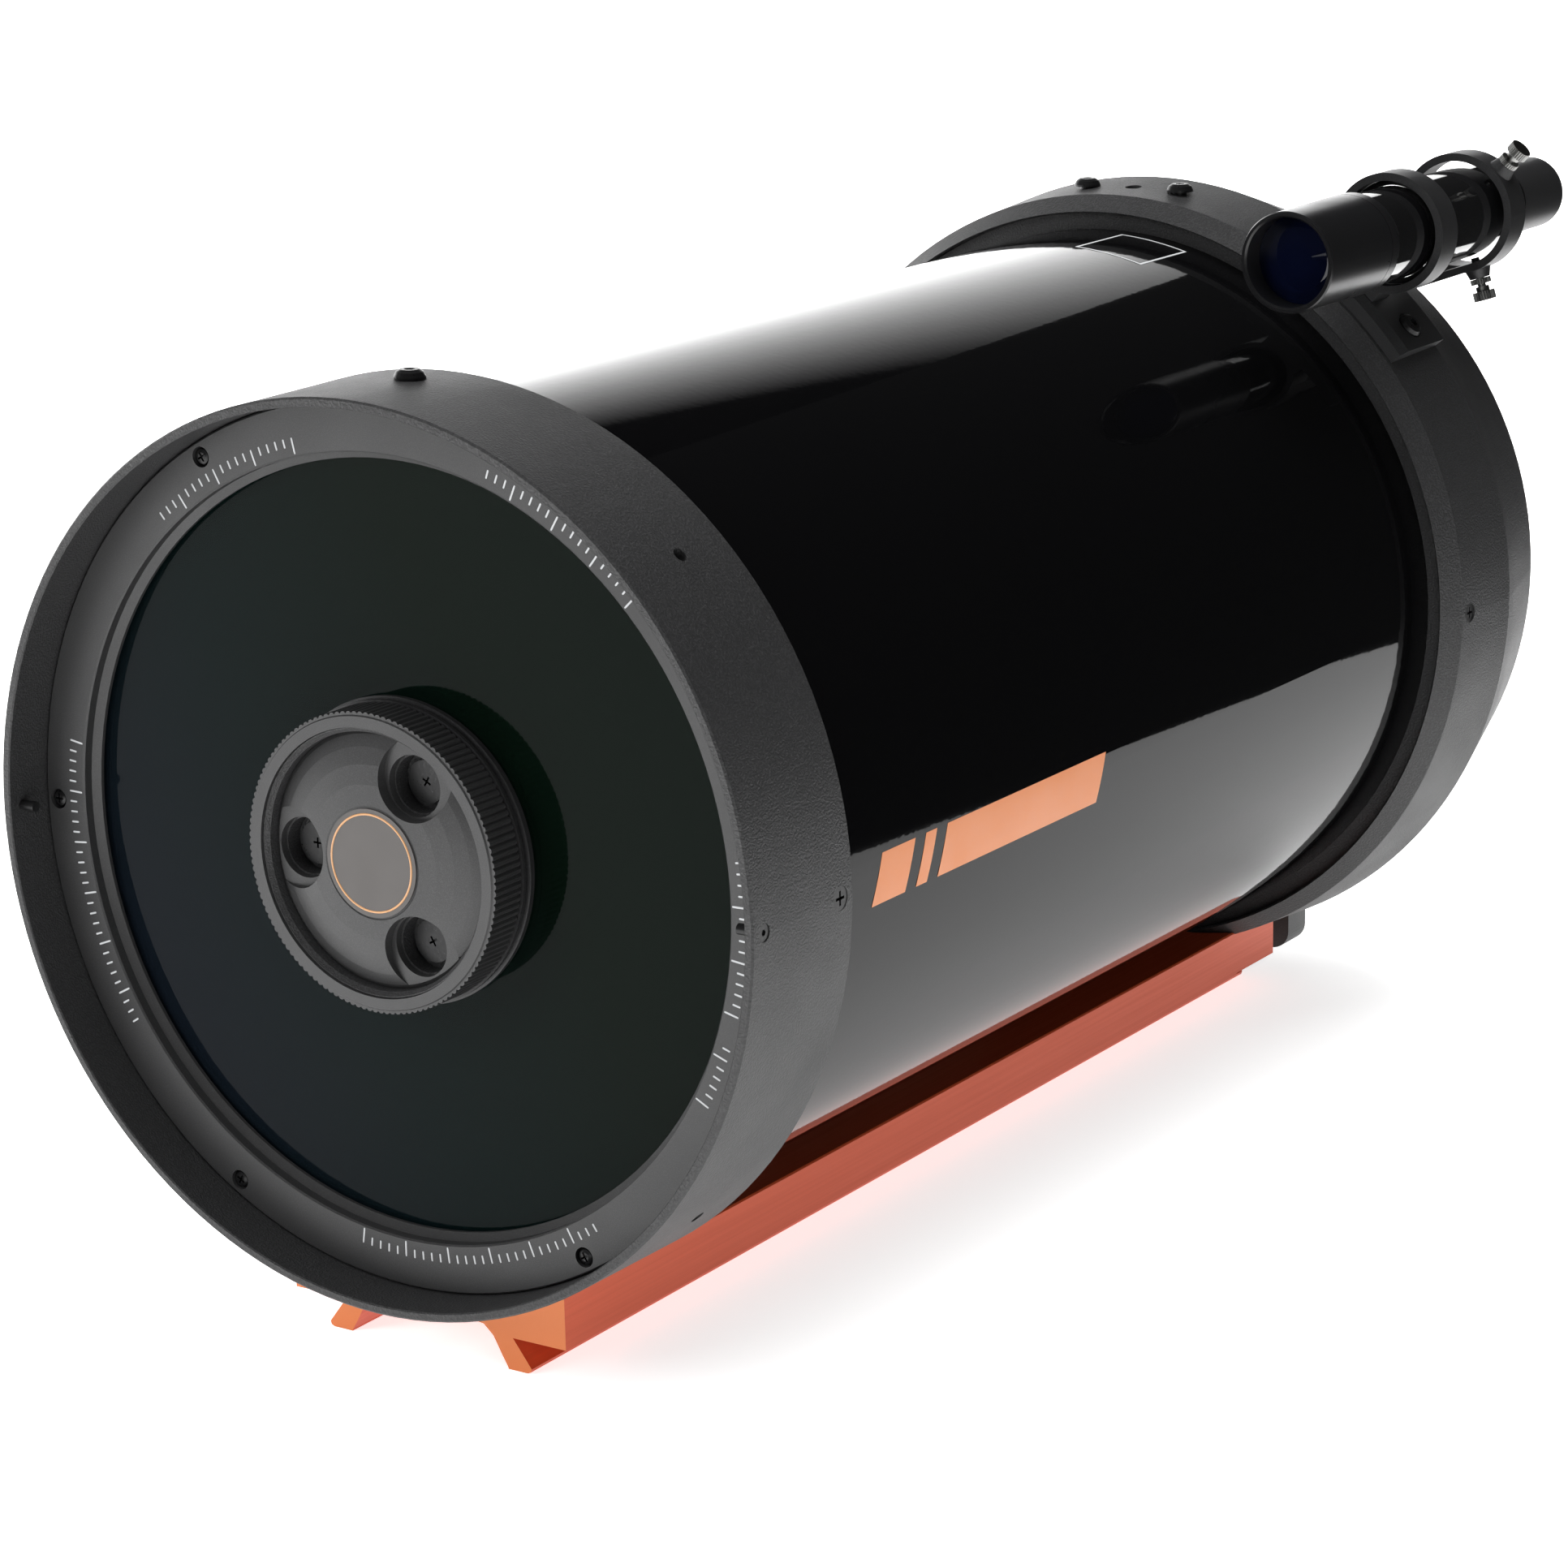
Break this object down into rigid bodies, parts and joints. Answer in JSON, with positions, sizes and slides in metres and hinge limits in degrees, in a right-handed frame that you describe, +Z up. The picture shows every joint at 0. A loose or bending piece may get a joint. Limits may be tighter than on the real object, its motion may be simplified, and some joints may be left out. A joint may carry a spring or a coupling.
{
  "type": "schmidt-cassegrain telescope",
  "caption": "Schmidt-Cassegrain optical tube on a wide orange dovetail bar, with a finder, focuser and visual back that move.",
  "frame": {"origin": "middle of the dovetail bar's bottom, half way along the bar", "axes": "+Z up, the optical axis along Y with the open end towards -Y, +X to the side that carries the finder"},
  "size_m": [0.2838, 0.5786, 0.3137],
  "materials": {
    "cell_paint": "black textured powder coat",
    "tube_paint": "gloss black paint",
    "ring_paint": "dark grey satin paint",
    "bar_anodise": "orange anodised",
    "plate_anodise": "bare machined",
    "visual_plate": "satin bright anodised",
    "screw_steel": "bright steel",
    "black_steel": "black oxide",
    "thumb_steel": "dull nickel plate",
    "brass_screw": "plain brass",
    "black_plastic": "matt black, lightly textured",
    "badge": "grey printed disc, plain",
    "gasket": "black cork and rubber",
    "corrector_glass": "coated glass",
    "lens_glass": "coated glass",
    "mirror_coat": "aluminised glass",
    "finder_paint": "gloss black paint",
    "finder_satin": "satin black anodised"
  },
  "bodies": {
    "optical_tube": {"front_cell": "cell_paint", "cap_pins": "screw_steel", "plug_screws": "black_steel", "centring_screws": "black_plastic", "front_cell_screws": "black_steel", "corrector_plate": "corrector_glass", "corrector_gaskets": "gasket", "corrector_ring": "ring_paint", "corrector_ring_screws": "screw_steel", "secondary_gasket": "gasket", "secondary_housing": "black_plastic", "secondary_baffle": "black_plastic", "main_tube": "tube_paint", "rear_cell": "cell_paint", "rear_cell_screws": "black_steel", "rear_grip": "black_plastic", "grip_screws": "black_steel", "baffle_tube": "black_plastic", "focus_plate": "cell_paint", "focus_plate_screws": "screw_steel", "rear_port": "cell_paint", "dovetail_bar": "bar_anodise", "bar_bolts": "screw_steel", "finder_bracket": "black_plastic", "finder_bracket_screws": "black_steel"},
    "focus_drive": {"focus_screw": "brass_screw", "focus_knob": "black_plastic"},
    "primary": {"mirror_carrier": "plate_anodise", "primary_mirror": "mirror_coat", "mirror_lock_ring": "black_plastic"},
    "secondary_unit": {"secondary_cell": "cell_paint", "secondary_cover": "ring_paint", "badge_disc": "badge"},
    "secondary_lock": {"secondary_ring": "ring_paint"},
    "collimator_1": {"collimation_screw_1": "screw_steel"},
    "collimator_2": {"collimation_screw_2": "screw_steel"},
    "collimator_3": {"collimation_screw_3": "screw_steel"},
    "secondary_optic": {"secondary_plate": "plate_anodise", "secondary_mirror": "mirror_coat"},
    "finder_gimbal": {"finder_o_ring": "gasket"},
    "finder": {"finder_tube": "finder_paint", "finder_eyepiece": "black_plastic", "finder_eye_lens": "lens_glass", "finder_reticle": "black_plastic"},
    "finder_focus": {"finder_lens": "lens_glass"},
    "finder_hood": {"finder_bell": "finder_satin"},
    "finder_lock": {"finder_lock_ring": "finder_satin"},
    "slip": {"slip_ring": "ring_paint"},
    "eyepiece_holder": {"visual_back": "visual_plate"},
    "eyepiece_clamp": {"eyepiece_stud": "thumb_steel"},
    "eyepiece_thumb": {"eyepiece_head": "black_plastic"},
    "stud_1": {"aim_stud_1": "thumb_steel"},
    "thumb_1": {"aim_head_1": "thumb_steel"},
    "nut_1": {"aim_nut_1": "thumb_steel"},
    "stud_2": {"aim_stud_2": "thumb_steel"},
    "thumb_2": {"aim_head_2": "thumb_steel"},
    "nut_2": {"aim_nut_2": "thumb_steel"},
    "stud_3": {"aim_stud_3": "thumb_steel"},
    "thumb_3": {"aim_head_3": "thumb_steel"},
    "nut_3": {"aim_nut_3": "thumb_steel"}
  },
  "joints": [
    {"name": "focus_turn", "type": "hinge", "parent": "optical_tube", "child": "focus_drive", "pos_m": [-0.041, 0.29095, 0.08509], "axis": [0, 1, 0], "range_deg": [-3601, 3601]},
    {"name": "mirror_shift", "type": "slide", "parent": "optical_tube", "child": "primary", "axis": [0, 1, 0], "range_m": [-0.0075, 0.0075]},
    {"name": "secondary_release", "type": "slide", "parent": "optical_tube", "child": "secondary_unit", "axis": [0, -1, 0], "range_m": [0, 0.06]},
    {"name": "secondary_ring_turn", "type": "hinge", "parent": "secondary_unit", "child": "secondary_lock", "pos_m": [0, -0.23905, 0.1561], "axis": [0, -1, 0], "range_deg": [-360, 360]},
    {"name": "collimation_1", "type": "hinge", "parent": "secondary_unit", "child": "collimator_1", "pos_m": [0.0138, -0.23305, 0.18], "axis": [0, -1, 0], "range_deg": [-180, 180]},
    {"name": "collimation_2", "type": "hinge", "parent": "secondary_unit", "child": "collimator_2", "pos_m": [-0.0276, -0.23305, 0.1561], "axis": [0, -1, 0], "range_deg": [-180, 180]},
    {"name": "collimation_3", "type": "hinge", "parent": "secondary_unit", "child": "collimator_3", "pos_m": [0.0138, -0.23305, 0.1322], "axis": [0, -1, 0], "range_deg": [-180, 180]},
    {"name": "secondary_tilt", "type": "hinge", "parent": "secondary_unit", "child": "secondary_optic", "pos_m": [0, -0.22725, 0.1561], "axis": [0, 0, -1], "range_deg": [-0.51, 0.51]},
    {"name": "finder_yaw", "type": "hinge", "parent": "optical_tube", "child": "finder_gimbal", "pos_m": [0.10498, 0.20595, 0.28713], "axis": [0, 0, 1], "range_deg": [-0.5, 0.5]},
    {"name": "finder_pitch", "type": "hinge", "parent": "finder_gimbal", "child": "finder", "pos_m": [0.10498, 0.20595, 0.28713], "axis": [1, 0, 0], "range_deg": [-0.79, 0.79]},
    {"name": "finder_lens_shift", "type": "slide", "parent": "finder", "child": "finder_focus", "axis": [0, -1, 0], "range_m": [0, 0.0023]},
    {"name": "finder_hood_turn", "type": "hinge", "parent": "finder_focus", "child": "finder_hood", "pos_m": [0.10498, 0.14595, 0.28713], "axis": [0, -1, 0], "range_deg": [0, 1080]},
    {"name": "finder_lock_turn", "type": "hinge", "parent": "finder", "child": "finder_lock", "pos_m": [0.10498, 0.17195, 0.28713], "axis": [0, -1, 0], "range_deg": [-720, 720]},
    {"name": "aim_slide_1", "type": "slide", "parent": "optical_tube", "child": "stud_1", "axis": [0.682, 0, 0.7314], "range_m": [-0.00058, 0.00058]},
    {"name": "aim_turn_1", "type": "hinge", "parent": "stud_1", "child": "thumb_1", "pos_m": [0.12476, 0.26265, 0.30834], "axis": [0.682, 0, 0.7314], "range_deg": [-414, 414]},
    {"name": "lock_nut_1", "type": "hinge", "parent": "optical_tube", "child": "nut_1", "pos_m": [0.12271, 0.26265, 0.30615], "axis": [0.682, 0, 0.7314], "range_deg": [-180, 180]},
    {"name": "aim_slide_2", "type": "slide", "parent": "optical_tube", "child": "stud_2", "axis": [-0.9744, 0, 0.225], "range_m": [-0.000179, 0.000179]},
    {"name": "aim_turn_2", "type": "hinge", "parent": "stud_2", "child": "thumb_2", "pos_m": [0.07672, 0.26265, 0.29366], "axis": [-0.9744, 0, 0.225], "range_deg": [-128, 128]},
    {"name": "lock_nut_2", "type": "hinge", "parent": "optical_tube", "child": "nut_2", "pos_m": [0.07964, 0.26265, 0.29298], "axis": [-0.9744, 0, 0.225], "range_deg": [-180, 180]},
    {"name": "aim_slide_3", "type": "slide", "parent": "optical_tube", "child": "stud_3", "axis": [0.2924, 0, -0.9563], "range_m": [-0.00076, 0.00076]},
    {"name": "aim_turn_3", "type": "hinge", "parent": "stud_3", "child": "thumb_3", "pos_m": [0.11346, 0.26265, 0.2594], "axis": [0.2924, 0, -0.9563], "range_deg": [-541, 541]},
    {"name": "lock_nut_3", "type": "hinge", "parent": "optical_tube", "child": "nut_3", "pos_m": [0.11258, 0.26265, 0.26227], "axis": [0.2924, 0, -0.9563], "range_deg": [-180, 180]},
    {"name": "slip_ring_turn", "type": "hinge", "parent": "optical_tube", "child": "slip", "pos_m": [0, 0.29795, 0.1561], "axis": [0, 1, 0], "range_deg": [-720, 720]},
    {"name": "visual_back_turn", "type": "hinge", "parent": "optical_tube", "child": "eyepiece_holder", "pos_m": [0, 0.31095, 0.1561], "axis": [0, 1, 0], "continuous": true},
    {"name": "eyepiece_clamp_slide", "type": "slide", "parent": "eyepiece_holder", "child": "eyepiece_clamp", "axis": [0.8192, 0, 0.5736], "range_m": [-0.00035, 0.0014]},
    {"name": "eyepiece_clamp_turn", "type": "hinge", "parent": "eyepiece_clamp", "child": "eyepiece_thumb", "pos_m": [0.01966, 0.32155, 0.16987], "axis": [0.8192, 0, 0.5736], "range_deg": [-181, 721]}
  ],
  "couplings": [
    {"joint": "focus_turn", "follows": "mirror_shift", "rad_per_m": -8377.6},
    {"joint": "collimation_2", "follows": "secondary_tilt", "ratio": 346.83},
    {"joint": "finder_lens_shift", "follows": "finder_hood_turn", "m_per_rad": 0.00011937},
    {"joint": "aim_turn_3", "follows": "finder_pitch", "ratio": -681.38},
    {"joint": "aim_turn_1", "follows": "finder_pitch", "ratio": 521.1},
    {"joint": "aim_turn_2", "follows": "finder_pitch", "ratio": 160.28},
    {"joint": "aim_slide_3", "follows": "finder_pitch", "m_per_rad": -0.054222},
    {"joint": "aim_slide_1", "follows": "finder_pitch", "m_per_rad": 0.041468},
    {"joint": "aim_slide_2", "follows": "finder_pitch", "m_per_rad": 0.012755},
    {"joint": "eyepiece_clamp_turn", "follows": "eyepiece_clamp_slide", "rad_per_m": 8976}
  ]
}
